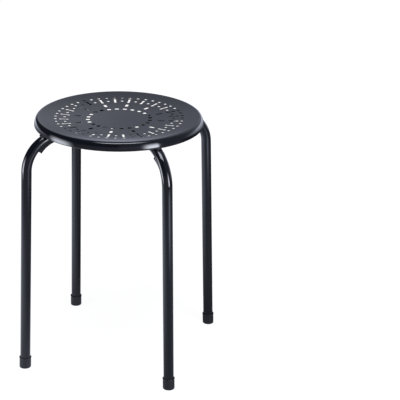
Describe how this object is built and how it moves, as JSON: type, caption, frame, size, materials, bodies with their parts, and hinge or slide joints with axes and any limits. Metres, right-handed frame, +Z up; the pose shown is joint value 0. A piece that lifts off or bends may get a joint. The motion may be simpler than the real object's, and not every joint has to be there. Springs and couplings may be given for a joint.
{
  "type": "metal stool",
  "caption": "Round metal stacking stool: dished steel seat with punched rings of holes on two crossed bent-tube hoops, splayed legs with foot caps.",
  "frame": {"origin": "on the floor, at the centre between the four feet and under the seat's centre", "axes": "+Z up; the upper hoop's two legs lie towards +X and -X, the lower hoop's two legs towards +Y and -Y"},
  "size_m": [0.4038, 0.4038, 0.45],
  "materials": {
    "seat_paint": "satin",
    "tube_paint": "gloss",
    "pad_plastic": "matte",
    "foot_rubber": "matte"
  },
  "bodies": {
    "root": {"seat_pan": "seat_paint", "hoop_upper": "tube_paint", "hoop_lower": "tube_paint", "seat_welds": "tube_paint", "crossing_welds": "tube_paint", "stack_pad_right": "pad_plastic", "stack_pad_rear": "pad_plastic", "stack_pad_left": "pad_plastic", "stack_pad_front": "pad_plastic", "foot_cap_right": "foot_rubber", "foot_cap_rear": "foot_rubber", "foot_cap_left": "foot_rubber", "foot_cap_front": "foot_rubber"}
  },
  "joints": []
}
